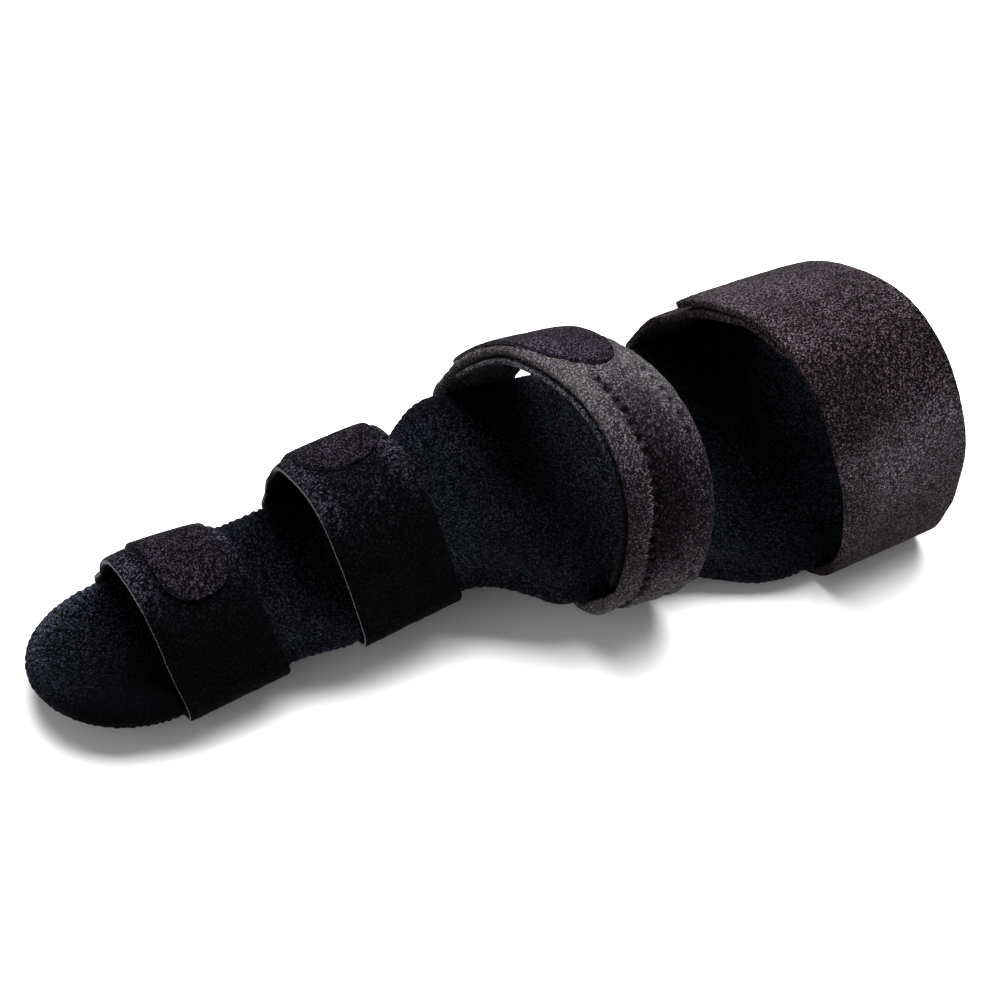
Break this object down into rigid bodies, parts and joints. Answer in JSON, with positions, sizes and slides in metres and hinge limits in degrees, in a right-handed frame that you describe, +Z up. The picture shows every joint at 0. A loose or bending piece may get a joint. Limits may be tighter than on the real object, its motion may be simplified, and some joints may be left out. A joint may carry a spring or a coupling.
{
  "type": "hand and finger splint",
  "caption": "Padded black splint tray with a rounded fingertip end, bent for the palm and wrist, with soft hook-and-loop straps over the fingers, the hand and the wrist.",
  "frame": {"origin": "middle of the splint's outline on the surface that it rests on", "axes": "+X along the splint from the fingertip end to the elbow end, +Y towards the little finger's side, +Z up"},
  "size_m": [0.199, 0.0786, 0.0617],
  "materials": {
    "body_cloth": "black brushed loop cloth over foam padding",
    "strap_cloth": "black brushed loop cloth bonded to thin foam",
    "pile_cloth": "black fuzzy loop pile with zigzag seams",
    "hook_knit": "dark warm grey knitted back of a hook tab",
    "lining_foam": "grey foam and cloth layer seen at its cut edge"
  },
  "bodies": {
    "root": {"splint_body": "body_cloth", "distal_finger_strap": "strap_cloth", "distal_hook_tab": "hook_knit", "proximal_finger_strap": "strap_cloth", "proximal_hook_tab": "hook_knit", "hand_strap": "pile_cloth", "hand_strap_lining": "lining_foam", "hand_hook_tab": "hook_knit", "wrist_strap": "strap_cloth", "wrist_hook_patch": "hook_knit"}
  },
  "joints": []
}
